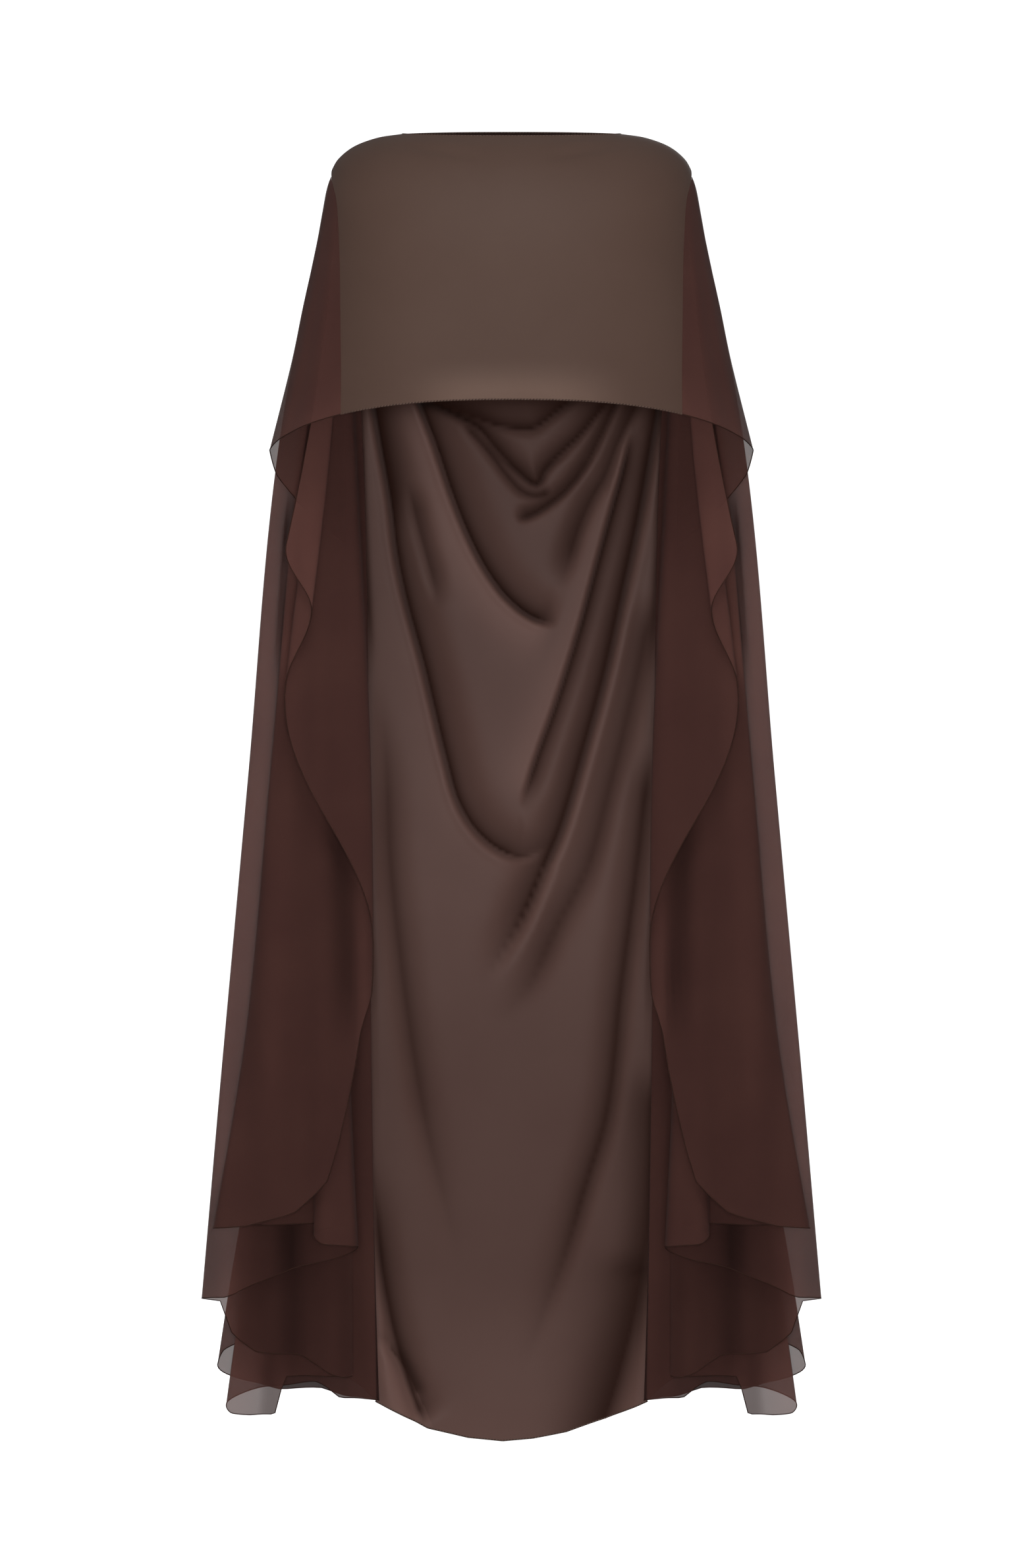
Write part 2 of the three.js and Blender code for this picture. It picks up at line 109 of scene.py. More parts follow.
def roundedPath(points, steps=6):
    # the same path with more points, rounded through its corners
    points = np.array(points, float)
    lengths = np.append(0, np.cumsum(np.hypot(*np.diff(points, axis=0).T)))
    at = np.linspace(0, lengths[-1], (len(points) - 1) * steps + 1)
    return np.stack([along(-lengths, points[:, 0], -at), along(-lengths, points[:, 1], -at)], 1)


# What a fold does where its own row says nothing: the low lip on its outer side, how far it fades at both
# ends, the painted shade inside and outside its path, and the painted light on the raised cloth beside it.
plainFold = {
    "lip": 0, "lipAt": 2.2, "lipWidth": 1.3, "fade": (0, 0), "dark": (10, 5), "darkFall": 1.5, "shade": 0.85,
    "glow": 0, "glowReach": 26,
}


def carriedUp(fold, above, reach):
    # a fold that runs out high on the back goes on straight towards the shoulders
    fold = {**plainFold, **fold}
    points = list(fold["path"])
    for end, before, faded in zip((0, -1), (1, -2), fold["fade"]):
        (ax, az), (bx, bz) = points[before], points[end]
        if bz > above and not faded:
            length = math.hypot(bx - ax, bz - az)
            further = (bx + (bx - ax) / length * reach, bz + (bz - az) / length * reach)
            points = points + [further] if end else [further] + points
    return {**fold, "path": points}


def foldDepth(folds, x, z):
    # how far the cloth is pushed back at each place by all its folds, and the painted light and shade on it
    depth = np.zeros(np.broadcast(x, z).shape)
    lit = np.ones(depth.shape)
    for fold in folds:
        fold = {**plainFold, **fold}
        path = roundedPath(fold["path"])
        nearest = np.full(depth.shape, 1e9)
        side = np.zeros(depth.shape)
        place = np.zeros(depth.shape)
        passed = 0
        for (ax, az), (bx, bz) in zip(path[:-1], path[1:]):
            length = math.hypot(bx - ax, bz - az)
            share = np.clip(((x - ax) * (bx - ax) + (z - az) * (bz - az)) / length**2, 0, 1)
            gap = np.hypot(x - mix(ax, bx, share), z - mix(az, bz, share))
            turn = (bx - ax) * (z - az) - (bz - az) * (x - ax)
            closer = gap < nearest
            nearest = np.where(closer, gap, nearest)
            side = np.where(closer, np.sign(turn), side)
            place = np.where(closer, passed + share * length, place)
            passed += length
        reach = np.where(side > 0, fold["inner"], fold["outer"])
        trough = fold["push"] * np.exp(-(nearest / reach) ** 2)
        fromLip = (nearest - fold["lipAt"] * fold["outer"]) / (fold["lipWidth"] * fold["outer"])
        lip = fold["lip"] * np.exp(-fromLip**2) * (side < 0)
        fadeIn, fadeOut = fold["fade"]
        ends = np.ones(depth.shape)
        if fadeIn:
            ends = ends * smooth(place / fadeIn)
        if fadeOut:
            ends = ends * smooth((passed - place) / fadeOut)
        depth += (trough - lip) * ends
        darkInner, darkOuter = fold["dark"]
        paintedShade = np.exp(-(nearest / np.where(side > 0, darkInner, darkOuter)) ** fold["darkFall"])
        paintedGlowShape = np.exp(-(nearest / fold["glowReach"]) ** 2) * (side < 0)
        lit *= (1 - fold["shade"] * paintedShade * ends) * (1 + fold["glow"] * paintedGlowShape * ends)
    return depth, lit


def softened(values, passes):
    for _ in range(passes):
        for axis in (0, 1):
            ends = [(1, 1) if a == axis else (0, 0) for a in (0, 1)]
            wide = np.pad(values, ends, mode="edge")
            low, high = (wide[:-2], wide[2:]) if axis == 0 else (wide[:, :-2], wide[:, 2:])
            values = (low + 2 * values + high) / 4
    return values


def flatLengths(grid):
    # distances over the cloth across and down, for a pattern that follows it
    across = np.linalg.norm(np.diff(grid, axis=1), axis=2)
    down = np.linalg.norm(np.diff(grid, axis=0), axis=2)
    u = np.zeros(grid.shape[:2])
    v = np.zeros(grid.shape[:2])
    u[:, 1:] = np.cumsum(np.tile(across.mean(0), (len(grid), 1)), axis=1)
    v[1:] = np.cumsum(down, axis=0)
    return u, v


def newPiece(name, mesh, material):
    # a new object, the only one that is selected
    mesh.materials.append(material)
    piece = bpy.data.objects.new(name, mesh)
    bpy.context.scene.collection.objects.link(piece)
    bpy.ops.object.select_all(action="DESELECT")
    piece.select_set(True)
    bpy.context.view_layer.objects.active = piece
    return piece


clothCrease, cordCrease = 50, 60  # degrees from which an edge stays sharp


def clothPiece(name, grid, thickness, material, shade):
    rows, columns = grid.shape[:2]
    index = np.arange(rows * columns).reshape(rows, columns)
    faces = np.stack([index[:-1, :-1], index[1:, :-1], index[1:, 1:], index[:-1, 1:]], -1).reshape(-1, 4)
    mesh = bpy.data.meshes.new(name)
    mesh.from_pydata((grid.reshape(-1, 3) * mm).tolist(), [], faces.tolist())
    u, v = flatLengths(grid)
    corners = faces.reshape(-1)
    places = np.stack([u.reshape(-1)[corners], v.reshape(-1)[corners]], 1) * mm
    mesh.uv_layers.new(name="flatCloth").data.foreach_set("uv", places.reshape(-1))
    depthShade = mesh.attributes.new("foldShade", "FLOAT", "POINT")
    depthShade.data.foreach_set("value", np.clip(shade, 0, 1).reshape(-1).astype(np.float32))
    piece = newPiece(name, mesh, material)
    wall = piece.modifiers.new("wall", "SOLIDIFY")
    wall.thickness = thickness * mm
    wall.offset = 0
    bpy.ops.object.modifier_apply(modifier=wall.name)
    bpy.ops.object.shade_smooth_by_angle(angle=math.radians(clothCrease))
    return piece


def hemCord(name, points, radius, material, sides=6, closest=0.05):
    # a rolled hem or turned edge: a thin closed tube along the edge of the cloth
    points = np.array(points, float)
    points = points[np.append(True, np.linalg.norm(np.diff(points, axis=0), axis=1) > closest)]
    ahead = np.gradient(points, axis=0)
    ahead /= np.linalg.norm(ahead, axis=1)[:, None]
    up = np.array([0.02, 1, 0.01])  # no edge of the cape starts in this direction
    vertices, uvs = [], []
    walked = 0
    for i, (point, way) in enumerate(zip(points, ahead)):
        up = up - way * up.dot(way)
        up /= np.linalg.norm(up)
        right = np.cross(way, up)
        if i:
            walked += np.linalg.norm(point - points[i - 1])
        for k in range(sides):
            angle = 2 * math.pi * k / sides
            vertices.append((point + radius * (math.cos(angle) * up + math.sin(angle) * right)) * mm)
            uvs.append((k / sides * 2 * math.pi * radius * mm, walked * mm))
    faces = []
    for i in range(len(points) - 1):
        for k in range(sides):
            a, b = i * sides + k, i * sides + (k + 1) % sides
            faces.append((a, a + sides, b + sides, b))
    faces.append(tuple(range(sides)))
    faces.append(tuple(reversed(range(len(vertices) - sides, len(vertices)))))
    mesh = bpy.data.meshes.new(name)
    mesh.from_pydata(vertices, [], faces)
    layer = mesh.uv_layers.new(name="flatCloth")
    for loop in mesh.loops:
        layer.data[loop.index].uv = uvs[loop.vertex_index]
    piece = newPiece(name, mesh, material)
    bpy.ops.object.shade_smooth_by_angle(angle=math.radians(cordCrease))
    return piece


def addNode(tree, kind, settings, links):
    # links: input name -> a value, or (node, output name)
    node = tree.nodes.new(kind)
    for name, value in settings.items():
        setattr(node, name, value)
    for name, value in links.items():
        socket = node.inputs[name]
        if isinstance(value, tuple) and isinstance(value[0], bpy.types.Node):
            tree.links.new(value[0].outputs[value[1]], socket)
        else:
            socket.default_value = value
    return node


def newMaterial(name):
    material = bpy.data.materials.new(name)
    material.use_nodes = True
    material.node_tree.nodes.clear()
    return material, material.node_tree


def clothNodes(tree, look):
    # thread grain as bump, clouds of tone, and the painted shade inside the folds from the foldShade
    # attribute
    cloth = addNode(tree, "ShaderNodeTexCoord", {}, {})
    pitch = 1000 / look["threadPitch"]
    threads = addNode(tree, "ShaderNodeMapping", {}, {"Vector": (cloth, "UV"), "Scale": (pitch, pitch, 1)})
    grain = addNode(tree, "ShaderNodeTexNoise", {"noise_dimensions": "2D"}, {
        "Vector": (threads, "Vector"), "Scale": 1.0, "Detail": look["threadDetail"],
        "Roughness": look["threadRoughness"]})
    clouds = addNode(tree, "ShaderNodeTexNoise", {}, {
        "Vector": (cloth, "Object"), "Scale": look["cloudScale"], "Detail": 3.0, "Roughness": 0.5})
    tone = addNode(tree, "ShaderNodeMix", {"data_type": "RGBA"}, {
        "Factor": (clouds, "Fac"), "A": linear(look["dark"]), "B": linear(look["light"])})
    paintedShade = addNode(tree, "ShaderNodeAttribute", {"attribute_name": "foldShade"}, {})
    toneAndPaintedShade = addNode(tree, "ShaderNodeMix", {"data_type": "RGBA"}, {
        "Factor": (paintedShade, "Fac"), "A": (tone, "Result"), "B": linear(look["paintedFoldShade"])})
    bump = addNode(tree, "ShaderNodeBump", {}, {
        "Strength": look["threadHeight"], "Distance": threadDepth, "Height": (grain, "Fac")})
    return toneAndPaintedShade, bump, paintedShade


# Heavy satin: silk warp floats over the weft give a soft sheen along the folds, and a fine cross thread.
# Real threads are 0.1 mm apart, and are drawn coarser so that they show.
satinLook = {
    # paintedFoldShade is the colour painted deep inside the folds, as shade
    "light": "#5e4b42", "dark": "#554239", "paintedFoldShade": "#200e08", "cloudScale": 9.0,
    "roughness": 0.55, "duller": 1.0, "dullFrom": 0.4, "sheen": 0.02,
    "threadPitch": 0.9, "threadHeight": 0.08, "threadDetail": 2.0, "threadRoughness": 0.6,
}


def wovenSatin(name, look):
    material, tree = newMaterial(name)
    toneAndPaintedShade, bump, paintedShade = clothNodes(tree, look)
    # satin deep inside a fold gets too little light to gleam, so it is rougher where the painted shade is
    # deep
    duller = addNode(tree, "ShaderNodeMapRange", {}, {
        "Value": (paintedShade, "Fac"), "From Min": look["dullFrom"], "To Min": look["roughness"],
        "To Max": look["duller"]})
    shade = addNode(tree, "ShaderNodeBsdfPrincipled", {}, {
        "Base Color": (toneAndPaintedShade, "Result"), "Roughness": (duller, "Result"), "Normal": (bump, "Normal"),
        "Sheen Weight": look["sheen"], "Sheen Roughness": 0.45, "Specular IOR Level": 0.1})
    addNode(tree, "ShaderNodeOutputMaterial", {}, {"Surface": (shade, "BSDF")})
    return material


# Chiffon: twisted threads with open gaps between them, so one layer lets some light through and it is dull.
# Real threads are 0.2 mm apart, and are drawn coarser so that they show. Each layer has two faces.
chiffonLook = {
    # paintedFoldShade is the colour painted deep inside the folds, as shade
    "light": "#603f38", "dark": "#533430", "paintedFoldShade": "#180c0a", "cloudScale": 14.0,
    "roughness": 0.9, "sheen": 0.025, "faceCover": 0.63, "deepCover": 0.96, "coverFrom": 0.3,
    "threadPitch": 0.9, "threadHeight": 0.06, "threadDetail": 1.0, "threadRoughness": 0.5,
}


def sheerChiffon(name, look):
    material, tree = newMaterial(name)
    toneAndPaintedShade, bump, paintedShade = clothNodes(tree, look)
    # deep between the layers more threads lie behind each other: denser where the painted shade is deep
    cover = addNode(tree, "ShaderNodeMapRange", {}, {
        "Value": (paintedShade, "Fac"), "From Min": look["coverFrom"], "To Min": look["faceCover"],
        "To Max": look["deepCover"]})
    shade = addNode(tree, "ShaderNodeBsdfPrincipled", {}, {
        "Base Color": (toneAndPaintedShade, "Result"), "Roughness": look["roughness"], "Normal": (bump, "Normal"),
        "Sheen Weight": look["sheen"], "Sheen Roughness": 0.5, "Specular IOR Level": 0.05,
        "Alpha": (cover, "Result")})
    addNode(tree, "ShaderNodeOutputMaterial", {}, {"Surface": (shade, "BSDF")})
    return material


# Rolled hems: the same cloth turned over twice and whipped with thread, so they are darker and denser.
# At waveScale the wave repeats once in each stitch.
hemLook = {
    "cloth": "#1e110d", "thread": "#3a241d", "roughness": 0.85, "cover": 0.95,
    "stitchPitch": 2.2, "stitchSlant": 28, "stitchHeight": 0.5, "waveScale": 0.314,
}


def whippedHem(name, look):
    material, tree = newMaterial(name)
    cloth = addNode(tree, "ShaderNodeTexCoord", {}, {})
    pitch = 1000 / look["stitchPitch"]
    slanted = addNode(tree, "ShaderNodeMapping", {}, {
        "Vector": (cloth, "UV"), "Rotation": (0, 0, math.radians(look["stitchSlant"])),
        "Scale": (pitch, pitch, 1)})
    stitches = addNode(tree, "ShaderNodeTexWave", {"bands_direction": "Y"}, {
        "Vector": (slanted, "Vector"), "Scale": look["waveScale"], "Distortion": 0.4})
    tone = addNode(tree, "ShaderNodeMix", {"data_type": "RGBA"}, {
        "Factor": (stitches, "Fac"), "A": linear(look["cloth"]), "B": linear(look["thread"])})
    bump = addNode(tree, "ShaderNodeBump", {}, {
        "Strength": look["stitchHeight"], "Distance": threadDepth, "Height": (stitches, "Fac")})
    shade = addNode(tree, "ShaderNodeBsdfPrincipled", {}, {
        "Base Color": (tone, "Result"), "Roughness": look["roughness"], "Normal": (bump, "Normal"),
        "Specular IOR Level": 0.12, "Alpha": look["cover"]})
    addNode(tree, "ShaderNodeOutputMaterial", {}, {"Surface": (shade, "BSDF")})
    return material


# the back panel's satin is lighter than the front's: partly the cloth's other face, seen from inside, and
# partly painted light for how the light falls on the back panel
frontSatin = wovenSatin("matt silk satin, front", satinLook)
backSatin = wovenSatin("matt silk satin, back", {**satinLook, "light": "#6a514a", "dark": "#614741"})
chiffon = sheerChiffon("sheer silk chiffon", chiffonLook)
rolledHem = whippedHem("rolled hem with whip stitches", hemLook)
turnedEdge = whippedHem("turned satin edge", {
    **hemLook, "cloth": "#33241e", "thread": "#54423a", "stitchPitch": 3.0, "roughness": 0.6, "cover": 1})
print("materials made")


# Front panel
frontPanel = {
    "rows": 150, "columns": 130, "thickness": 0.7, "edgeRadius": 0.9,
    "flatSize": (0.41, 0.42), "flatArea": 0.136,
    "hemFlare": 9, "hemFlareHeight": 50, "hemRoundness": 1.35,
    # painted light on the satin: its plain share, a painted highlight above the hem, painted shade at the
    # sides
    "plainLight": 0.6, "hemLight": 0.75, "hemLightHeight": 46, "hemLightWidth": 95, "sideShade": 0.14,
    "folds": [
        {"push": 2, "inner": 9, "outer": 5, "fade": (40, 40), "path": [(-140, -18), (-61, -37), (-25, -44)]},
        {"push": 2, "inner": 5, "outer": 9, "fade": (40, 40), "path": [(140, -18), (61, -37), (25, -44)]},
    ],
}


def frontRise(cosine, index):
    # how far the front has risen from the side's height, with a rounder curve towards the hem
    return cosine ** mix(1, frontPanel["hemRoundness"], (index / lastSection) ** 2)


def frontGrid():
    index = np.linspace(0, lastSection, frontPanel["rows"])[:, None]
    cut = sectionAt(index)
    lane = np.sin((np.linspace(0, 1, frontPanel["columns"])[None, :] - 0.5) * math.pi)
    x = cut["frontSeam"] * lane
    share = depthShare(cut["width"], x)
    y = np.minimum(-cut["frontDepth"] * share, -halfGap)
    z = mix(cut["side"], cut["front"], frontRise(share ** (squareness / 2), index))
    hem = z[-1:]
    flare = frontPanel["hemFlare"] * smooth(1 - (z - hem) / frontPanel["hemFlareHeight"]) * share
    y = y - flare + foldDepth(frontPanel["folds"], x, z)[0] * share
    # a painted highlight where the satin curves out above the hem, and painted shade towards the sides
    middle = np.exp(-(x / frontPanel["hemLightWidth"]) ** 4)
    nearHem = smooth(1 - (z - hem) / frontPanel["hemLightHeight"]) * middle
    lit = frontPanel["plainLight"] * (1 + frontPanel["hemLight"] * nearHem)
    return np.stack([x, y, z], -1), 1 - lit * (1 - frontPanel["sideShade"] * lane**4)


frontCloth, frontShade = frontGrid()
frontPiece = clothPiece("frontPanel", frontCloth, frontPanel["thickness"], frontSatin, frontShade)
frontNeckEdge = hemCord("frontNeckEdge", frontCloth[0], frontPanel["edgeRadius"], turnedEdge)
frontHemEdge = hemCord("frontHem", frontCloth[-1], frontPanel["edgeRadius"], turnedEdge)
print("front panel made")


# Back panel. Each fold runs along its path, x and height. The cloth drops behind the path by its push
# and comes forward again over the inner reach, which lies left of the way the path runs. Beside the path
# the cloth is painted with shade, and with painted light where it glows.
backPanel = {
    "thickness": 0.7, "edgeRadius": 0.9, "flatSize": (0.46, 1.52), "flatArea": 0.56,
    # rows and columns lie closest where the cowls are
    "topRows": 9, "bladeRows": 51, "bladeFrom": 7.5,
    "rowEnds": [0, 0.177, 0.412, 0.937, 1], "rowCounts": [80, 66, 52, 20],
    "columns": 178, "crowding": 0.6,
    # the form below the shoulder blades
    "lowerHeight": [-700, -1000, -1300, -1430],
    "lowerSeam": [166, 162, 156, 152],
    "lowerSeamDepth": [104, 116, 132, 138],
    "lowerMiddleDepth": [118, 130, 145, 151],
    "roundness": (2.72, 2.2), "roundnessDrop": 150,
    # how the folds begin under the shoulders and end beside the seams, and the painted light on the cloth
    "riseSections": 3, "foldsStart": -185, "foldsGrow": 95, "carryAbove": -330, "carryReach": 110,
    "seamFade": 16, "lift": 3, "plainLight": 0.6,
    "lightHeights": [-1450, -1390, -1250, -1000, -850], "lightLevels": [1.2, 1.05, 0.86, 0.86, 1],
    "hemX": [-154, -94, -49, -10, 24, 62, 106, 154],
    "hemHeight": [-1405, -1437, -1448, -1452, -1449, -1442, -1427, -1405],
    "folds": [
        # painted shade under the front hem, and the small cowls in the middle
        {"push": 0.1, "inner": 20, "outer": 20, "dark": (26, 20), "shade": 0.75,
         "path": [(-45, -284), (62, -284)]},
        {"push": 8, "inner": 18, "outer": 4, "dark": (15, 2), "shade": 0.85,
         "path": [(-35, -305), (-12, -313), (12, -316), (26, -315), (39, -306), (56, -292)]},
        {"push": 10, "inner": 14, "outer": 4, "dark": (12, 2.5), "shade": 0.88,
         "path": [(-63, -300), (-36, -315), (-16, -338), (6, -361), (29, -377), (37, -362), (55, -343),
                  (76, -323), (97, -298)]},
        {"push": 5, "inner": 9, "outer": 5, "fade": (20, 12), "dark": (8, 3), "shade": 0.75,
         "path": [(-58, -308), (-40, -326), (-21, -348), (-5, -369), (12, -386), (26, -391), (48, -386)]},
        {"push": 11, "inner": 10, "outer": 4, "fade": (18, 0), "dark": (9, 3), "glow": 0.15,
         "path": [(3, -418), (24, -410), (42, -399), (61, -383), (81, -358), (98, -327), (112, -296)]},
        # the wide cowl on the left, and the fold from the right into it
        {"push": 18, "inner": 26, "outer": 4, "lip": 2, "fade": (0, 30), "dark": (12, 1.5), "shade": 0.92,
         "glow": 0.8, "glowReach": 40,
         "path": [(-100, -290), (-83, -335), (-66, -386), (-47, -434), (-26, -474), (-4, -503), (22, -524),
                  (53, -535)]},
        {"push": 10, "inner": 15, "outer": 8, "fade": (60, 0), "dark": (14, 5), "shade": 0.8,
         "path": [(52, -500), (66, -455), (75, -426), (88, -396), (105, -367), (117, -335), (135, -298)]},
        {"push": 12, "inner": 15, "outer": 3, "lip": 1, "fade": (60, 50), "dark": (9, 1.5), "shade": 0.85,
         "glow": 0.45, "glowReach": 30,
         "path": [(139, -301), (126, -360), (112, -411), (100, -455), (76, -544), (48, -632), (32, -676),
                  (9, -746)]},
        # the long fold on the left, deep at its top
        {"push": 19, "inner": 26, "outer": 4, "lip": 2, "fade": (0, 70), "dark": (11, 1.5), "shade": 0.93,
         "glow": 0.2,
         "path": [(-151, -295), (-144, -338), (-134, -396), (-127, -455), (-118, -500), (-97, -579),
                  (-72, -684), (-58, -733), (-40, -763), (-15, -785), (9, -794), (30, -789), (50, -773)]},
        # painted shade only, wide at the top of the long fold
        {"push": 0.1, "inner": 9, "outer": 9, "fade": (0, 60), "dark": (24, 1.5), "shade": 0.72,
         "path": [(-151, -295), (-144, -338), (-134, -396), (-129, -440)]},
        {"push": 7, "inner": 14, "outer": 8, "fade": (40, 50), "dark": (9, 5), "shade": 0.6,
         "path": [(-116, -370), (-103, -426), (-88, -480), (-78, -522)]},
        # the three folds that fall from the right
        {"push": 18, "inner": 22, "outer": 6, "lip": 2.5, "fade": (110, 0), "dark": (12, 4.5), "shade": 0.92,
         "glow": 0.35, "glowReach": 18,
         "path": [(-36, -941), (9, -868), (38, -800), (53, -764), (79, -676), (103, -588), (122, -500),
                  (141, -411), (158, -312)]},
        {"push": 9, "inner": 20, "outer": 12, "fade": (110, 60), "dark": (14, 10), "shade": 0.65,
         "path": [(-22, -985), (17, -941), (53, -868), (84, -809), (109, -720), (131, -632), (150, -544),
                  (160, -490)]},
        {"push": 11, "inner": 22, "outer": 9, "lip": 1.5, "fade": (240, 70), "dark": (12, 6), "shade": 0.8,
         "path": [(5, -1390), (35, -1309), (62, -1236), (84, -1162), (106, -1088), (123, -941), (140, -809),
                  (150, -720), (158, -660)]},
        # soft folds towards the hem
        {"push": 8, "inner": 22, "outer": 12, "lip": 1.5, "fade": (180, 260), "dark": (12, 7), "shade": 0.6,
         "path": [(-150, -573), (-140, -684), (-136, -794), (-120, -941), (-97, -1088), (-76, -1175),
                  (-52, -1272)]},
        {"push": 12, "inner": 22, "outer": 9, "lip": 1.5, "fade": (140, 20), "dark": (11, 6), "shade": 0.88,
         "glow": 0.7, "glowReach": 20,
         "path": [(-158, -1100), (-152, -1190), (-146, -1250), (-136, -1310), (-126, -1353), (-114, -1392),
                  (-98, -1435)]},
        {"push": 6, "inner": 8, "outer": 5, "fade": (20, 0), "dark": (5, 2.5), "shade": 0.5,
         "glow": 0.7, "glowReach": 30, "path": [(-150, -1330), (-138, -1346), (-122, -1368), (-108, -1395)]},
        {"push": 8, "inner": 24, "outer": 16, "fade": (15, 60), "dark": (24, 14), "shade": 0.8,
         "path": [(144, -1275), (154, -1190), (158, -1100), (160, -1015)]},
        {"push": 13, "inner": 38, "outer": 18, "fade": (0, 40), "dark": (38, 16), "shade": 0.88,
         "glow": 0.5, "glowReach": 34,
         "path": [(98, -1450), (107, -1422), (117, -1390), (128, -1350), (139, -1305), (150, -1236)]},
        # painted shade on the margins beside the seams
        {"push": 0.1, "inner": 9, "outer": 9, "fade": (0, 90), "dark": (5, 40), "shade": 0.7,
         "path": [(-168, -290), (-165, -400), (-160, -500), (-153, -600)]},
        {"push": 0.1, "inner": 9, "outer": 9, "fade": (90, 0), "dark": (5, 40), "shade": 0.6,
         "path": [(155, -600), (160, -500), (165, -400), (168, -290)]},
    ],
}


def backSeamLine():
    levels, xs, ys = [], [], []
    for i in range(shoulderTip + 1, lastSection + 1):
        width, seam = bodySections["width"][i], bodySections["backSeam"][i]
        share = float(depthShare(width, seam))
        levels.append(mix(bodySections["side"][i], bodySections["back"][i], share ** (squareness / 2)))
        xs.append(seam)
        ys.append(bodySections["backDepth"][i] * share)
    return levels + backPanel["lowerHeight"], xs + backPanel["lowerSeam"], ys + backPanel["lowerSeamDepth"]


seamLevels, seamXs, seamYs = backSeamLine()


def backGrid():
    crowded = math.pi * backPanel["crowding"]
    lane = np.sin((np.linspace(0, 1, backPanel["columns"])[None, :] - 0.5) * crowded) / math.sin(crowded / 2)
    # over the shoulders and the blades, by sections
    overTop = np.linspace(0, backPanel["bladeFrom"], backPanel["topRows"])
    overBlades = np.linspace(backPanel["bladeFrom"], lastSection, backPanel["bladeRows"] + 1)
    index = np.append(overTop, overBlades[1:])[:, None]
    cut = sectionAt(index)
    seam = cut["backSeam"]
    x = seam * lane
    share = depthShare(cut["width"], x)
    y = np.maximum(cut["backDepth"] * share, halfGap)
    z = mix(cut["side"], cut["back"], share ** (squareness / 2))
    rise = smooth((index - shoulderTip) / backPanel["riseSections"])
    # from there to the hem, by height
    last = bodySections["back"][-1]
    hem = np.interp(backPanel["lowerSeam"][-1] * lane, backPanel["hemX"], backPanel["hemHeight"])
    counted = np.append(0, np.cumsum(backPanel["rowCounts"]))
    down = np.interp(np.arange(1, counted[-1] + 1), counted, backPanel["rowEnds"])[:, None]
    lowZ = mix(last, hem, down)
    lowSeam = along(seamLevels, seamXs, lowZ)
    lowX = lowSeam * lane
    middleLevels = [last] + backPanel["lowerHeight"]
    middleDepths = [bodySections["backDepth"][-1]] + backPanel["lowerMiddleDepth"]
    roundness = mix(*backPanel["roundness"], smooth((last - lowZ) / backPanel["roundnessDrop"]))
    lowY = mix(along(middleLevels, middleDepths, lowZ), along(seamLevels, seamYs, lowZ),
               (np.abs(lowX) / lowSeam) ** roundness)
    wide = (len(index), lane.shape[1])
    seam = np.vstack([np.broadcast_to(seam, wide), lowSeam])
    rise = np.vstack([np.broadcast_to(rise, wide), np.ones(lowX.shape)])
    x, y, z = np.vstack([x, lowX]), np.vstack([y, lowY]), np.vstack([z, lowZ])
    # the folds over both
    above, reach = backPanel["carryAbove"], backPanel["carryReach"]
    depth, lit = foldDepth([carriedUp(fold, above, reach) for fold in backPanel["folds"]], x, z)
    rise = rise * smooth((backPanel["foldsStart"] - z) / backPanel["foldsGrow"])
    push = softened(depth, 1) - backPanel["lift"]
    y = y + push * rise * smooth((seam - np.abs(x)) / backPanel["seamFade"])
    # painted light that changes with height down the back
    lit = mix(1, lit, rise) * np.interp(z, backPanel["lightHeights"], backPanel["lightLevels"])
    return np.stack([x, y, z], -1), 1 - backPanel["plainLight"] * lit


backCloth, backShade = backGrid()
backPiece = clothPiece("backPanel", backCloth, backPanel["thickness"], backSatin, backShade)
backNeckEdge = hemCord("backNeckEdge", backCloth[0], backPanel["edgeRadius"], turnedEdge)
backHemEdge = hemCord("backHem", backCloth[-1], backPanel["edgeRadius"], turnedEdge)
print("back panel made")


# Wings: from the front panel's side seam round the arm, through a turn, and back inside. hemHeight is the
# hem of the part inside, at shares of the way from the outermost point to the inner edge.
wing = {
    "rows": 110, "frontColumns": 46, "turnColumns": 16, "insideColumns": 26,
    "thickness": 0.4, "edgeRadius": 0.6, "innerEdgeRadius": 0.42,
    "flatSize": (0.17, 0.42), "flatArea": 0.05,
    "topSection": 4.25, "flareShare": 0.8,
    "turnAngle": 82, "turnShare": 0.35, "turnOut": 1, "turnDepth": 0.85,
    "insideSide": [-46, -130, -255, -353],
    "insideDepth": [-14.5, -10, -5, -3],
    "innerEdge": [184, 184, 182, 181],
    "insideTop": -60,
    "hemAcross": [0, 0.015, 0.045, 0.1, 0.19, 0.28, 0.37, 0.7, 1],
    "hemHeight": [-353, -361, -368, -376, -386, -395, -404, -431, -452], "dropSteepness": 4.5,
    "rippleHeight": 1.6, "rippleCount": 2.5,
    # painted light above the hem and painted shade inside near the body
    "plainTone": 0.31, "hemLight": 0.14, "hemLightHeight": 60,
    "insideShade": 0.45, "insideShadeX": 250, "insideShadeReach": 14,
}


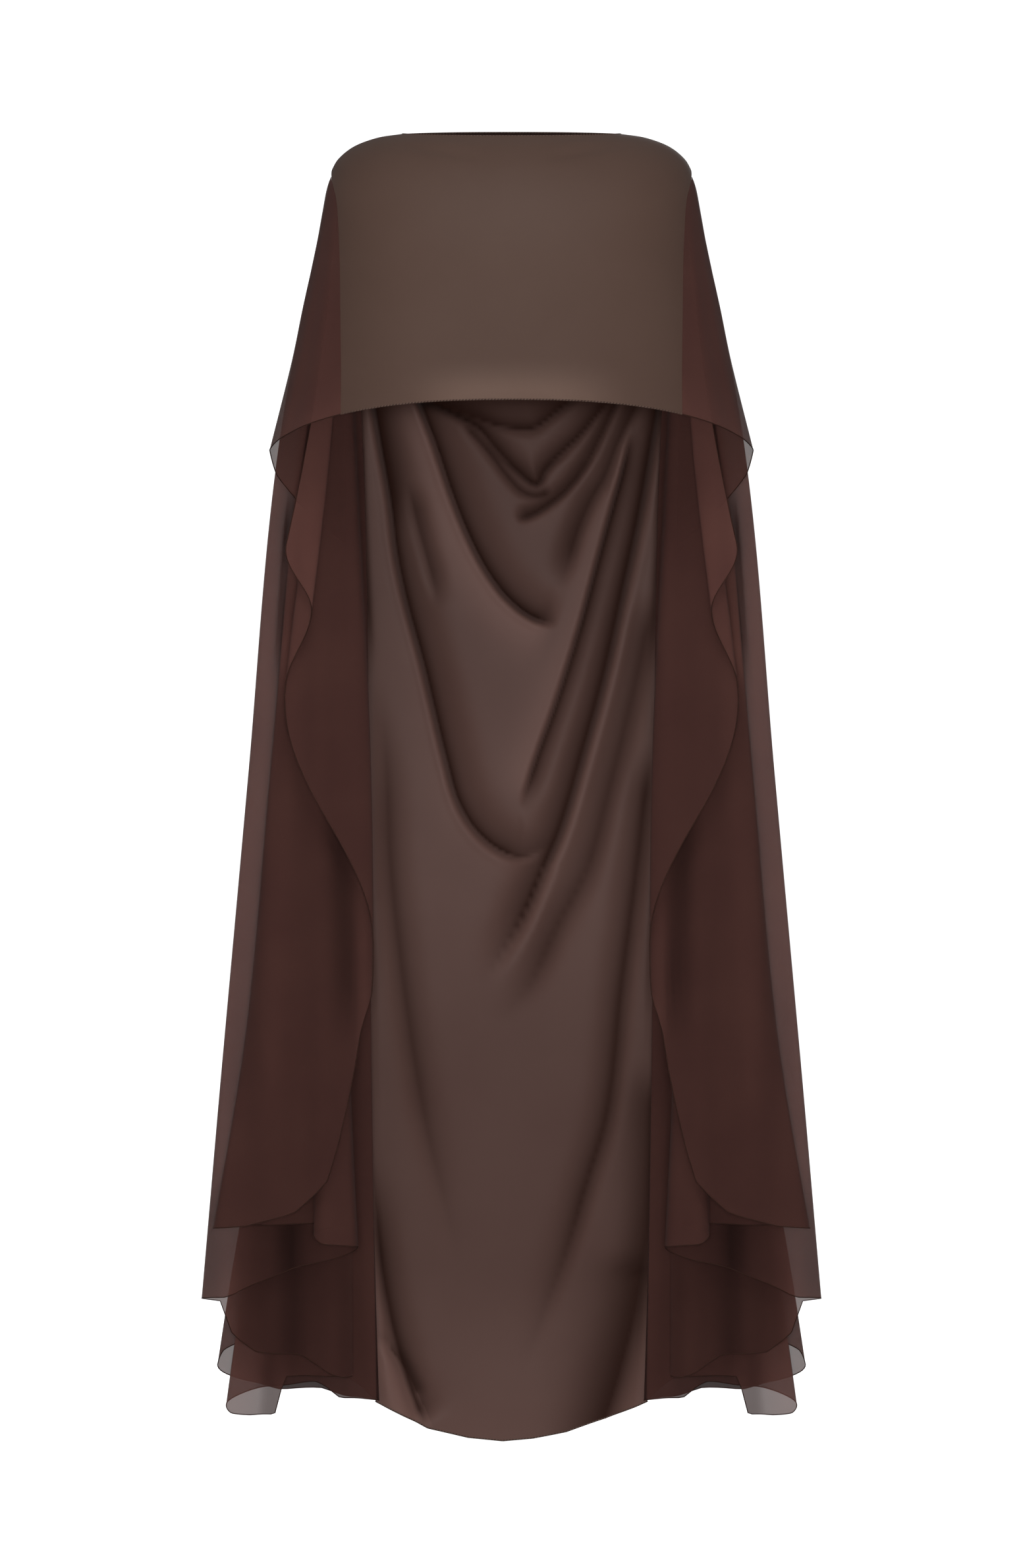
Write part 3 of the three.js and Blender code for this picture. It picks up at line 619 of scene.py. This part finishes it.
def wingGrid():
    index = np.linspace(wing["topSection"], lastSection, wing["rows"])[:, None]
    cut = sectionAt(index)
    # the part that is seen, from the seam to where it turns in
    seamAngle = np.arcsin((cut["frontSeam"] / cut["width"]) ** (squareness / 2))
    share = np.linspace(0, 1, wing["frontColumns"])[None, :]
    angle = mix(seamAngle, math.radians(wing["turnAngle"]), share)
    x = cut["width"] * np.sin(angle) ** (2 / squareness)
    y = -cut["frontDepth"] * np.cos(angle) ** (2 / squareness)
    z = mix(cut["side"], cut["front"], frontRise(np.cos(angle), index))
    flare = frontPanel["hemFlare"] * smooth(1 - (z - z[-1:]) / frontPanel["hemFlareHeight"])
    y = y - flare * depthShare(cut["width"], x) * (1 - smooth(share / wing["flareShare"]))
    down = smooth((index - wing["topSection"]) / (lastSection - wing["topSection"]))
    ripple = np.sin(math.pi * share) * np.sin(share * 2 * math.pi * wing["rippleCount"])
    y = y + wing["rippleHeight"] * down * ripple
    # the turn and the part inside
    depth = along(wing["insideSide"], wing["insideDepth"], cut["side"])
    innerEdge = along(wing["insideSide"], wing["innerEdge"], cut["side"])
    afterX = mix(cut["width"], innerEdge, wing["turnShare"])
    s = np.linspace(0, 1, wing["turnColumns"] + 1)[None, 1:]
    cornerX, cornerY = cut["width"] + wing["turnOut"], mix(y[:, -1:], depth, wing["turnDepth"])
    turnX = x[:, -1:] * (1 - s) ** 2 + 2 * s * (1 - s) * cornerX + s**2 * afterX
    turnY = y[:, -1:] * (1 - s) ** 2 + 2 * s * (1 - s) * cornerY + s**2 * depth
    t = np.linspace(0, 1, wing["insideColumns"] + 1)[None, 1:]
    backX = np.hstack([turnX, mix(afterX, innerEdge, t)])
    inside = np.linspace(0, 1, backX.shape[1] + 1)[None, 1:]
    across = (cut["width"] - backX) / (cut["width"] - innerEdge)
    hem = np.interp(across, wing["hemAcross"], wing["hemHeight"])
    top, bottom = cut["side"][0], cut["side"][-1]
    ownZ = mix(wing["insideTop"], hem, (cut["side"] - top) / (bottom - top))
    backZ = mix(z[:, -1:], ownZ, smooth(inside * wing["dropSteepness"]))
    return np.stack([np.hstack([x, backX]), np.hstack([y, turnY, depth + 0 * t]), np.hstack([z, backZ])], -1)


def paintWingShade(grid):
    # painted light a little above the hem, and painted shade inside near the body
    x, z = grid[..., 0], grid[..., 2]
    tone = wing["plainTone"] - wing["hemLight"] * smooth(1 + (z - z[-1:]) / -wing["hemLightHeight"])
    inside = np.arange(grid.shape[1]) >= wing["frontColumns"] + wing["turnColumns"]
    return tone + inside * wing["insideShade"] * smooth((wing["insideShadeX"] - x) / wing["insideShadeReach"])


# Cascades: each row is an upright fold line and the layer of chiffon that follows it, from the free
# edge in front to the back seam. x and depth are at the five levels, and edge is the layer's hem.
cascade = {
    "rows": 148, "layerColumns": [18, 18, 20, 24, 24, 18, 18, 24, 26, 44, 36, 30, 30],
    "thickness": 0.4, "edgeRadius": 0.6, "hemPoints": 241, "hemRounding": 13,
    "flatSize": (1.3, 1.45), "flatArea": 1.2,
    "levels": [-50, -330, -700, -1000, -1300],
    "folds": [
        {"top": -58, "x": [183, 219, 299, 340, 340], "depth": [-31, -40, -46, -46, -46], "hem": -452,
         "edge": []},
        {"top": -54, "x": [181, 195, 234, 240, 240], "depth": [-26, -31, -36, -36, -36], "hem": -528,
         "edge": []},
        {"top": -52, "x": [184, 212, 254, 260, 260], "depth": [-21, -22, -26, -28, -28], "hem": -605,
         "edge": []},
        {"top": -46, "x": [180, 170, 153, 150, 149], "depth": [-8, 10, -2, -6, -8], "hem": -886,
         "edge": [(0.06, -936), (0.2, -975), (0.3, -1073), (0.37, -1146), (0.5, -1181), (0.7, -1196)]},
        {"top": -48, "x": [192, 231, 264, 293, 345], "depth": [5.5, 28, 24, 24, 26], "hem": -1199,
         "edge": [(0.5, -1197)]},
        {"top": -42, "x": [184, 182, 183, 184, 185], "depth": [1, 22, 16, 15, 16], "hem": -1193, "edge": []},
        {"top": -45, "x": [187, 205, 211, 214, 218], "depth": [-3.5, 16, 8, 6, 6], "hem": -1206,
         "edge": [(0.3, -1216)]},
        {"top": -42, "x": [181, 174, 177, 178, 165], "depth": [11, 37, 36, 38, 42], "hem": -1221,
         "edge": [(0.45, -1246), (0.73, -1278)]},
        {"top": -53, "x": [199, 255, 290, 317, 344], "depth": [16, 46, 49, 53, 60], "hem": -1281,
         "edge": [(0.24, -1284), (0.3, -1318), (0.42, -1342), (0.6, -1343), (0.75, -1365), (0.85, -1370)]},
        {"top": -46, "x": [183, 176, 177, 178, 177], "depth": [21, 55, 61, 67, 76], "hem": -1369,
         "edge": [(0.3, -1370), (0.543, -1370), (0.557, -1412), (0.7, -1414), (0.86, -1411)]},
        {"top": -56, "x": [198, 225, 240, 262, 303], "depth": [26, 64, 72, 80, 91], "hem": -1402,
         "edge": [(0.32, -1384), (0.56, -1378), (0.61, -1384), (0.67, -1396)]},
        {"top": -52, "x": [184, 165, 158, 156, 152], "depth": [31, 73, 84, 93, 106], "hem": -1400,
         "edge": [(0.12, -1396), (0.3, -1372), (0.5, -1347), (0.78, -1336), (0.9, -1345)]},
        {"top": -62, "x": [198, 230, 248, 272, 319], "depth": [36, 82, 95, 106, 121], "hem": -1362,
         "edge": [(0.1, -1369), (0.2, -1375), (0.43, -1390), (0.6, -1389), (0.72, -1399)]},
    ],
    # the last edge laps behind the back panel's edge
    "seamTop": -70, "seamHem": -1405, "seamStep": 0.8, "seamLap": 4,
    # flutes and a fine ripple keep the layers from hanging flat
    "fluteLength": 58, "fluteLevels": [-50, -330, -1300], "fluteHeights": [0, 2, 4.5], "fluteFade": 25,
    "rippleHeight": 0.9, "rippleLength": 37, "rippleDrop": 600, "rippleStep": 1.9, "rippleSlant": 240,
    # a painted highlight along each fold edge
    "edgeLight": 0.2, "edgeShare": 0.07,
    # how dark the painted shade makes each layer at its inner and its outer fold, and soft bands of painted
    # light and shade between two heights
    "outerFrom": 0.66, "outerSpan": 0.22, "bandFade": 80,
    "paintedLayerShades": [(0.05, 0.05), (0.15, 0.2), (0.48, 0.4), (0.52, 0.48), (0.5, 0.4), (0.5, 0.45), (0.45, 0.5),
              (0.56, 0), (0.6, 0.05), (0.45, 0.05), (0.5, 0.1), (0.6, 0.1), (0.72, 0.1)],
    "paintedBands": [
        {"layer": 3, "from": -690, "to": -1010, "x": (190, 176), "reach": 15, "tone": 0.28},
        {"layer": 3, "from": -400, "to": -1100, "x": (168, 160), "reach": 7, "tone": -0.22},
        {"layer": 3, "from": -290, "to": -640, "x": (182, 232), "reach": 8, "tone": 0.4},
        {"layer": 3, "from": -330, "to": -640, "x": (232, 256), "reach": 11, "tone": -0.4},
        {"layer": 3, "from": -400, "to": -800, "x": (200, 214), "reach": 4, "tone": -0.12},
        {"layer": 3, "from": -500, "to": -1100, "x": (236, 262), "reach": 9, "tone": -0.08},
        {"layer": 7, "from": -360, "to": -620, "x": (245, 259), "reach": 4, "tone": 0.6},
        {"layer": 7, "from": -1120, "to": -1330, "x": (322, 340), "reach": 16, "tone": 0.3},
        {"layer": 7, "from": -1120, "to": -1330, "x": (244, 244), "reach": 17, "tone": 0.36},
        {"layer": 8, "from": -1180, "to": -1440, "x": (240, 244), "reach": 18, "tone": 0.22},
        {"layer": 11, "from": -1060, "to": -1300, "x": (160, 156), "reach": 14, "tone": 0.25},
    ],
}


def hemCurve(fold, nextHem, across):
    # the hem is rounded between its points, and never swings past them
    points = [(0, fold["hem"])] + fold["edge"] + [(1, nextHem)]
    fine = np.linspace(0, 1, cascade["hemPoints"])
    height = np.interp(fine, *zip(*points))
    kernel = np.hanning(cascade["hemRounding"])
    wide = np.pad(height, cascade["hemRounding"] // 2, mode="reflect", reflect_type="odd")
    rounded = np.convolve(wide, kernel / kernel.sum(), mode="valid")
    return np.interp(across, fine, rounded)


def paintCascadeShade(layer, across, x, z, outwards):
    # a thin painted highlight on each fold, where the cloth is double, and soft bands of painted light and
    # shade between
    outerness = (1 - np.cos(math.pi * (across if outwards else 1 - across))) / 2
    toOuter = smooth((outerness - cascade["outerFrom"]) / cascade["outerSpan"])
    paintedEdgeLight = np.exp(-(across / cascade["edgeShare"]) ** 2)
    if layer < len(cascade["folds"]) - 1:
        paintedEdgeLight = paintedEdgeLight + np.exp(-((1 - across) / cascade["edgeShare"]) ** 2)
    tone = mix(*cascade["paintedLayerShades"][layer], toOuter) + 0 * x - cascade["edgeLight"] * paintedEdgeLight
    fade = cascade["bandFade"]
    for band in cascade["paintedBands"]:
        if band["layer"] == layer:
            ends = smooth((band["from"] - z) / fade) * smooth((z - band["to"]) / fade)
            middle = mix(*band["x"], (band["from"] - z) / (band["from"] - band["to"]))
            tone = tone + band["tone"] * ends * np.exp(-((x - middle) / band["reach"]) ** 2)
    return tone


def cascadeGrid():
    levels, folds = cascade["levels"], cascade["folds"]
    parts, paintedLayerShades = [], []
    for layer, fold in enumerate(folds):
        last = layer == len(folds) - 1
        across = np.linspace(0, 1, cascade["layerColumns"][layer] + 1)[None, :]
        if not last:
            across = across[:, :-1]
        nextTop = cascade["seamTop"] if last else folds[layer + 1]["top"]
        nextHem = cascade["seamHem"] if last else folds[layer + 1]["hem"]
        down = np.linspace(0, 1, cascade["rows"])[:, None]
        z = mix(mix(fold["top"], nextTop, across), hemCurve(fold, nextHem, across), down)
        seam = along(seamLevels, seamXs, z)
        nextX = seam - cascade["seamLap"] if last else along(levels, folds[layer + 1]["x"], z)
        x = mix(along(levels, fold["x"], z), nextX, (1 - np.cos(math.pi * across)) / 2)
        own = along(levels, fold["depth"], z)
        before = own if layer == 0 else (own + along(levels, folds[layer - 1]["depth"], z)) / 2
        if last:
            after = along(seamLevels, seamYs, z) - cascade["seamStep"]
        else:
            after = (own + along(levels, folds[layer + 1]["depth"], z)) / 2
        turnIn = np.maximum(0, 1 - 2 * across) ** 3
        turnOut = np.maximum(0, 2 * across - 1) ** 3
        fromSeam = x - seam
        rise = along(cascade["fluteLevels"], cascade["fluteHeights"], z)
        flute = rise * smooth(fromSeam / cascade["fluteFade"]) * np.sin(
            fromSeam * 2 * math.pi / cascade["fluteLength"])
        turned = x * 2 * math.pi / cascade["rippleLength"] + layer * cascade["rippleStep"]
        swell = cascade["rippleHeight"] * smooth(-z / cascade["rippleDrop"]) * np.sin(math.pi * across)
        ripple = swell * np.sin(turned + z / cascade["rippleSlant"])
        y = own + (before - own) * turnIn + (after - own) * turnOut + flute + ripple
        parts.append(np.stack([x, y, z], -1))
        # each layer's painted light and shade
        paintedLayerShades.append(paintCascadeShade(layer, across, x, z, not last and folds[layer + 1]["x"][2] > fold["x"][2]))
    return np.hstack(parts), np.hstack(paintedLayerShades)


wingCloth = wingGrid()
# painted light and shade on the wings
wingPaintedShade = paintWingShade(wingCloth)
cascadeCloth, cascadePaintedShade = cascadeGrid()
sides = {"Left": 1, "Right": -1}
sidePieces = []
for side, sign in sides.items():
    wingSide, cascadeSide = wingCloth * [sign, 1, 1], cascadeCloth * [sign, 1, 1]
    wingPiece = clothPiece("wing" + side, wingSide, wing["thickness"], chiffon, wingPaintedShade)
    cascadePiece = clothPiece("cascade" + side, cascadeSide, cascade["thickness"], chiffon, cascadePaintedShade)
    wingHem = hemCord("wingHem" + side, wingSide[-1], wing["edgeRadius"], rolledHem)
    wingEdge = hemCord("wingInnerEdge" + side, wingSide[:, -1], wing["innerEdgeRadius"], rolledHem)
    cascadeHem = hemCord("cascadeHem" + side, np.vstack([cascadeSide[:, 0], cascadeSide[-1]]),
                         cascade["edgeRadius"], rolledHem)
    sidePieces.append((side.lower(), wingPiece, cascadePiece, wingHem, wingEdge, cascadeHem))
print("wings and cascades made")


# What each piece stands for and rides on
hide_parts("front_panel")
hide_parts("back_panel")
for piece in (frontPiece, backPiece, frontNeckEdge, frontHemEdge, backNeckEdge, backHemEdge):
    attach(piece, "root")
for side, wingPiece, cascadePiece, wingHem, wingEdge, cascadeHem in sidePieces:
    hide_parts("wing_" + side)
    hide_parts("cascade_" + side)
    for piece in (wingPiece, cascadePiece, wingHem, wingEdge, cascadeHem):
        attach(piece, "root")


# Studio, in metres and watts: a white paper sweep, soft lights all round and an even white world.
# Each light has its place, the point on the cape's middle line that it faces, its size and its power.
studio = {
    "floorHeight": -1.4585, "wallDepth": 11, "width": 24, "reach": 12, "wallHeight": 7,
    "bendRadius": 4, "bendSteps": 16, "paperGlow": 0.95, "allRound": 0.3,
    "lights": {
        "frontSoftbox": ((0, -4.0, -0.9), (0, 0, -0.7), 1.0, 90),
        "topSoftbox": ((0, -1.6, 1.5), (0, 0, -0.3), 1.2, 28),
        "leftSoftbox": ((3.6, -2.2, 0.2), (0, 0, -0.7), 1.6, 12),
        "rightSoftbox": ((-3.6, -2.2, 0.2), (0, 0, -0.7), 1.6, 12),
        "backSoftbox": ((0.8, 4.2, 0.9), (0, 0, -0.6), 1.8, 24),
    },
}

# Camera, in metres except for the film, which is in millimetres. The picture is this high at the cape.
photoView = {"distance": 5, "height": -0.713, "pictureHeight": 1.7136, "filmHeight": 36}


def paperSweep():
    material, tree = newMaterial("matt white paper")
    sheet = addNode(tree, "ShaderNodeTexCoord", {}, {})
    fibres = addNode(tree, "ShaderNodeTexNoise", {}, {
        "Vector": (sheet, "Object"), "Scale": 60.0, "Detail": 2.0})
    tone = addNode(tree, "ShaderNodeMix", {"data_type": "RGBA"}, {
        "Factor": (fibres, "Fac"), "A": linear("#c4c4c4"), "B": linear("#cccccc")})
    paper = addNode(tree, "ShaderNodeBsdfDiffuse", {}, {"Color": (tone, "Result")})
    glow = addNode(tree, "ShaderNodeEmission", {}, {"Strength": studio["paperGlow"]})
    lit = addNode(tree, "ShaderNodeAddShader", {}, {0: (paper, "BSDF"), 1: (glow, "Emission")})
    # the paper is evenly white to look at, and throws only a little light back
    seen = addNode(tree, "ShaderNodeLightPath", {}, {})
    shade = addNode(tree, "ShaderNodeMixShader", {}, {
        0: (seen, "Is Camera Ray"), 1: (paper, "BSDF"), 2: (lit, "Shader")})
    addNode(tree, "ShaderNodeOutputMaterial", {}, {"Surface": (shade, "Shader")})
    low, back, radius = studio["floorHeight"], studio["wallDepth"], studio["bendRadius"]
    outline = [(-studio["reach"], low), (back - radius, low)]
    for i in range(1, studio["bendSteps"]):
        angle = math.pi / 2 * i / studio["bendSteps"]
        outline.append((back - radius + radius * math.sin(angle), low + radius - radius * math.cos(angle)))
    outline += [(back, low + radius), (back, low + studio["wallHeight"])]
    half = studio["width"] / 2
    vertices = [(x, y, z) for y, z in outline for x in (-half, half)]
    faces = [(2 * i, 2 * i + 1, 2 * i + 3, 2 * i + 2) for i in range(len(outline) - 1)]
    mesh = bpy.data.meshes.new("paperSweep")
    mesh.from_pydata(vertices, [], faces)
    mesh.shade_smooth()
    sweep = newPiece("paperSweep", mesh, material)


def softLight(name, place, target, size, power):
    bpy.ops.object.light_add(type="AREA", location=place)
    light = bpy.context.object
    light.name = name
    light.data.shape = "DISK"
    light.data.size = size
    light.data.energy = power
    wayX, wayY, wayZ = [t - p for t, p in zip(target, place)]
    light.rotation_euler = (math.atan2(math.hypot(wayX, wayY), -wayZ), 0, math.atan2(wayX, -wayY) + math.pi)


paperSweep()
world = bpy.data.worlds.new("white room")
world.use_nodes = True
sky = world.node_tree.nodes["Background"]
sky.inputs["Color"].default_value = (1, 1, 1, 1)
worldSeen = addNode(world.node_tree, "ShaderNodeLightPath", {}, {})
worldStrength = addNode(world.node_tree, "ShaderNodeMapRange", {}, {
    "Value": (worldSeen, "Is Camera Ray"), "To Min": studio["allRound"], "To Max": 1.0})
world.node_tree.links.new(worldStrength.outputs["Result"], sky.inputs["Strength"])
bpy.context.scene.world = world
for name, setup in studio["lights"].items():
    softLight(name, *setup)

cameraData = bpy.data.cameras.new("photoCamera")
cameraData.sensor_width = photoView["filmHeight"]
cameraData.lens = photoView["filmHeight"] * photoView["distance"] / photoView["pictureHeight"]
camera = bpy.data.objects.new("photoCamera", cameraData)
camera.location = (0, -photoView["distance"], photoView["height"])
camera.rotation_euler = (math.pi / 2, 0, 0)
bpy.context.scene.collection.objects.link(camera)
bpy.context.scene.camera = camera
bpy.context.scene.view_settings.view_transform = "Standard"
print("studio made")
